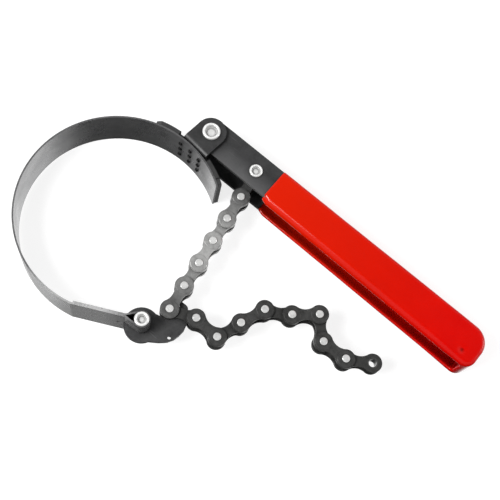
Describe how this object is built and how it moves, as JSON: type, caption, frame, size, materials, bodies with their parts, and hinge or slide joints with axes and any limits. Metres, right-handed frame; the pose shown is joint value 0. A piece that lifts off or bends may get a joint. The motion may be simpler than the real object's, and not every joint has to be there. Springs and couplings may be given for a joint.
{
  "type": "oil filter wrench",
  "caption": "Strap and roller chain wrench: a steel strap ring, a clevis with a dipped channel handle, and a chain whose roller drops into a claw at the strap's far end.",
  "frame": {"origin": "centre of the strap's ring at half the strap's width, where the axis of the filter it grips passes", "axes": "+Z along the filter's axis, +X along the handle from its pivot to its far end, +Y from the ring towards the handle"},
  "size_m": [0.2143, 0.1143, 0.0268],
  "materials": {
    "blued_strap": "satin blued spring steel",
    "black_bracket": "satin black oxide",
    "black_channel": "satin black oxide",
    "red_vinyl": "glossy dipped vinyl",
    "black_claw": "satin black oxide",
    "bright_rivet": "bright nickel",
    "spacer_steel": "turned steel",
    "inner_plate_steel": "oiled grey steel",
    "outer_plate_steel": "oiled grey steel",
    "pin_steel": "bright ground steel",
    "bush_steel": "bright rolled steel",
    "roller_steel": "oiled grey steel"
  },
  "bodies": {
    "band": {"filter_strap": "blued_strap", "clevis_bracket": "black_bracket", "pivot_rivet": "bright_rivet", "hook_rivet": "bright_rivet"},
    "handle": {"handle_channel": "black_channel", "grip_sleeve": "red_vinyl", "anchor_rivet": "bright_rivet", "anchor_spacers": "spacer_steel"},
    "hook": {"chain_hook": "black_claw"},
    "link_01": {"link_01_inner_plates": "inner_plate_steel", "link_01_bushes": "bush_steel"},
    "link_02": {"link_02_outer_plates": "outer_plate_steel", "link_02_pins": "pin_steel"},
    "link_03": {"link_03_inner_plates": "inner_plate_steel", "link_03_bushes": "bush_steel"},
    "link_04": {"link_04_outer_plates": "outer_plate_steel", "link_04_pins": "pin_steel"},
    "link_05": {"link_05_inner_plates": "inner_plate_steel", "link_05_bushes": "bush_steel"},
    "link_06": {"link_06_outer_plates": "outer_plate_steel", "link_06_pins": "pin_steel"},
    "link_07": {"link_07_inner_plates": "inner_plate_steel", "link_07_bushes": "bush_steel"},
    "link_08": {"link_08_outer_plates": "outer_plate_steel", "link_08_pins": "pin_steel"},
    "link_09": {"link_09_inner_plates": "inner_plate_steel", "link_09_bushes": "bush_steel"},
    "link_10": {"link_10_outer_plates": "outer_plate_steel", "link_10_pins": "pin_steel"},
    "link_11": {"link_11_inner_plates": "inner_plate_steel", "link_11_bushes": "bush_steel"},
    "link_12": {"link_12_outer_plates": "outer_plate_steel", "link_12_pins": "pin_steel"},
    "link_13": {"link_13_inner_plates": "inner_plate_steel", "link_13_bushes": "bush_steel"},
    "link_14": {"link_14_outer_plates": "outer_plate_steel", "link_14_pins": "pin_steel"},
    "link_15": {"link_15_inner_plates": "inner_plate_steel", "link_15_bushes": "bush_steel"},
    "roller_00": {"roller_00": "roller_steel"},
    "roller_01": {"roller_01": "roller_steel"},
    "roller_02": {"roller_02": "roller_steel"},
    "roller_03": {"roller_03": "roller_steel"},
    "roller_04": {"roller_04": "roller_steel"},
    "roller_05": {"roller_05": "roller_steel"},
    "roller_06": {"roller_06": "roller_steel"},
    "roller_07": {"roller_07": "roller_steel"},
    "roller_08": {"roller_08": "roller_steel"},
    "roller_09": {"roller_09": "roller_steel"},
    "roller_10": {"roller_10": "roller_steel"},
    "roller_11": {"roller_11": "roller_steel"},
    "roller_12": {"roller_12": "roller_steel"},
    "roller_13": {"roller_13": "roller_steel"},
    "roller_14": {"roller_14": "roller_steel"},
    "roller_15": {"roller_15": "roller_steel"}
  },
  "joints": [
    {"name": "handle_pivot", "type": "hinge", "parent": "band", "child": "handle", "pos_m": [0.0062, 0.0585, 0], "axis": [0, 0, 1], "range_deg": [-12, 1.5]},
    {"name": "hook_pivot", "type": "hinge", "parent": "band", "child": "hook", "pos_m": [0.0405, -0.0306, 0], "axis": [0, 0, 1], "range_deg": [-35.55, 4.62]},
    {"name": "chain_joint_01", "type": "hinge", "parent": "handle", "child": "link_01", "pos_m": [0.034, 0.058, 0], "axis": [0, 0, 1], "range_deg": [-3.86, 30.22]},
    {"name": "chain_joint_02", "type": "hinge", "parent": "link_01", "child": "link_02", "pos_m": [0.03593, 0.04545, 0], "axis": [0, 0, 1], "range_deg": [-4.9, 0.7]},
    {"name": "chain_joint_03", "type": "hinge", "parent": "link_02", "child": "link_03", "pos_m": [0.03787, 0.0329, 0], "axis": [0, 0, 1], "range_deg": [-4.9, 0.7]},
    {"name": "chain_joint_04", "type": "hinge", "parent": "link_03", "child": "link_04", "pos_m": [0.0398, 0.02034, 0], "axis": [0, 0, 1], "range_deg": [-4.9, 0.7]},
    {"name": "chain_joint_05", "type": "hinge", "parent": "link_04", "child": "link_05", "pos_m": [0.04173, 0.00779, 0], "axis": [0, 0, 1], "range_deg": [-4.9, 0.7]},
    {"name": "chain_joint_06", "type": "hinge", "parent": "link_05", "child": "link_06", "pos_m": [0.04367, -0.00476, 0], "axis": [0, 0, 1], "range_deg": [-4.9, 0.7]},
    {"name": "chain_joint_07", "type": "hinge", "parent": "link_06", "child": "link_07", "pos_m": [0.0456, -0.01731, 0], "axis": [0, 0, 1], "range_deg": [-29.57, 3.78]},
    {"name": "chain_joint_08", "type": "hinge", "parent": "link_07", "child": "link_08", "pos_m": [0.05746, -0.01276, 0], "axis": [0, 0, 1], "range_deg": [-50, 10]},
    {"name": "chain_joint_09", "type": "hinge", "parent": "link_08", "child": "link_09", "pos_m": [0.07015, -0.01329, 0], "axis": [0, 0, 1], "range_deg": [-30, 15]},
    {"name": "chain_joint_10", "type": "hinge", "parent": "link_09", "child": "link_10", "pos_m": [0.07422, -0.00126, 0], "axis": [0, 0, 1], "range_deg": [-15, 10]},
    {"name": "chain_joint_11", "type": "hinge", "parent": "link_10", "child": "link_11", "pos_m": [0.07854, 0.01068, 0], "axis": [0, 0, 1], "range_deg": [-15, 10]},
    {"name": "chain_joint_12", "type": "hinge", "parent": "link_11", "child": "link_12", "pos_m": [0.0896, 0.01693, 0], "axis": [0, 0, 1], "range_deg": [-15, 30]},
    {"name": "chain_joint_13", "type": "hinge", "parent": "link_12", "child": "link_13", "pos_m": [0.09915, 0.0253, 0], "axis": [0, 0, 1], "range_deg": [-40, 45]},
    {"name": "chain_joint_14", "type": "hinge", "parent": "link_13", "child": "link_14", "pos_m": [0.1083, 0.01649, 0], "axis": [0, 0, 1], "range_deg": [-30, 55]},
    {"name": "chain_joint_15", "type": "hinge", "parent": "link_14", "child": "link_15", "pos_m": [0.121, 0.01689, 0], "axis": [0, 0, 1], "range_deg": [-20, 60]},
    {"name": "roller_spin_00", "type": "hinge", "parent": "link_01", "child": "roller_00", "pos_m": [0.034, 0.058, 0], "axis": [0, 0, 1], "continuous": true},
    {"name": "roller_spin_01", "type": "hinge", "parent": "link_01", "child": "roller_01", "pos_m": [0.03593, 0.04545, 0], "axis": [0, 0, 1], "continuous": true},
    {"name": "roller_spin_02", "type": "hinge", "parent": "link_03", "child": "roller_02", "pos_m": [0.03787, 0.0329, 0], "axis": [0, 0, 1], "continuous": true},
    {"name": "roller_spin_03", "type": "hinge", "parent": "link_03", "child": "roller_03", "pos_m": [0.0398, 0.02034, 0], "axis": [0, 0, 1], "continuous": true},
    {"name": "roller_spin_04", "type": "hinge", "parent": "link_05", "child": "roller_04", "pos_m": [0.04173, 0.00779, 0], "axis": [0, 0, 1], "continuous": true},
    {"name": "roller_spin_05", "type": "hinge", "parent": "link_05", "child": "roller_05", "pos_m": [0.04367, -0.00476, 0], "axis": [0, 0, 1], "continuous": true},
    {"name": "roller_spin_06", "type": "hinge", "parent": "link_07", "child": "roller_06", "pos_m": [0.0456, -0.01731, 0], "axis": [0, 0, 1], "continuous": true},
    {"name": "roller_spin_07", "type": "hinge", "parent": "link_07", "child": "roller_07", "pos_m": [0.05746, -0.01276, 0], "axis": [0, 0, 1], "continuous": true},
    {"name": "roller_spin_08", "type": "hinge", "parent": "link_09", "child": "roller_08", "pos_m": [0.07015, -0.01329, 0], "axis": [0, 0, 1], "continuous": true},
    {"name": "roller_spin_09", "type": "hinge", "parent": "link_09", "child": "roller_09", "pos_m": [0.07422, -0.00126, 0], "axis": [0, 0, 1], "continuous": true},
    {"name": "roller_spin_10", "type": "hinge", "parent": "link_11", "child": "roller_10", "pos_m": [0.07854, 0.01068, 0], "axis": [0, 0, 1], "continuous": true},
    {"name": "roller_spin_11", "type": "hinge", "parent": "link_11", "child": "roller_11", "pos_m": [0.0896, 0.01693, 0], "axis": [0, 0, 1], "continuous": true},
    {"name": "roller_spin_12", "type": "hinge", "parent": "link_13", "child": "roller_12", "pos_m": [0.09915, 0.0253, 0], "axis": [0, 0, 1], "continuous": true},
    {"name": "roller_spin_13", "type": "hinge", "parent": "link_13", "child": "roller_13", "pos_m": [0.1083, 0.01649, 0], "axis": [0, 0, 1], "continuous": true},
    {"name": "roller_spin_14", "type": "hinge", "parent": "link_15", "child": "roller_14", "pos_m": [0.121, 0.01689, 0], "axis": [0, 0, 1], "continuous": true},
    {"name": "roller_spin_15", "type": "hinge", "parent": "link_15", "child": "roller_15", "pos_m": [0.13172, 0.0237, 0], "axis": [0, 0, 1], "continuous": true}
  ],
  "couplings": [
    {"joint": "hook_pivot", "follows": "handle_pivot", "ratio": 2.946},
    {"joint": "chain_joint_01", "follows": "handle_pivot", "ratio": -2.51},
    {"joint": "chain_joint_02", "follows": "handle_pivot", "ratio": 0.4},
    {"joint": "chain_joint_03", "follows": "handle_pivot", "ratio": 0.4},
    {"joint": "chain_joint_04", "follows": "handle_pivot", "ratio": 0.4},
    {"joint": "chain_joint_05", "follows": "handle_pivot", "ratio": 0.4},
    {"joint": "chain_joint_06", "follows": "handle_pivot", "ratio": 0.4},
    {"joint": "chain_joint_07", "follows": "handle_pivot", "ratio": 2.456}
  ]
}
